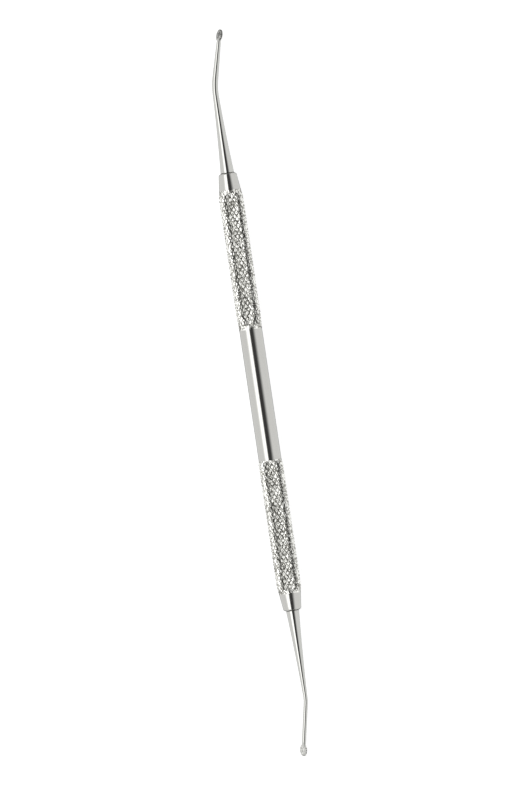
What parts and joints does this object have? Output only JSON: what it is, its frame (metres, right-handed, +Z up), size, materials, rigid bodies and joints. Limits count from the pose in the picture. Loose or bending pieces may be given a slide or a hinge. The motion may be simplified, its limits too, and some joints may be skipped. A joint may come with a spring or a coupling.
{
  "type": "gingival cord packer",
  "caption": "Double-ended hand instrument: round handle with two diamond-knurled grips, and a bent tapered shank with a thin serrated packing disc at each end.",
  "frame": {"origin": "on the surface that the instrument lies on, below the middle of the handle", "axes": "+Y along the handle towards the upper working end, +Z up from the surface, +X to the side that the upper end bends to"},
  "size_m": [0.007, 0.1748, 0.006],
  "materials": {
    "satin_steel": "turned and satin-brushed stainless steel",
    "polished_steel": "mirror-polished stainless steel"
  },
  "bodies": {
    "root": {"handle": "satin_steel", "upper_working_end": "polished_steel", "lower_working_end": "polished_steel"}
  },
  "joints": []
}
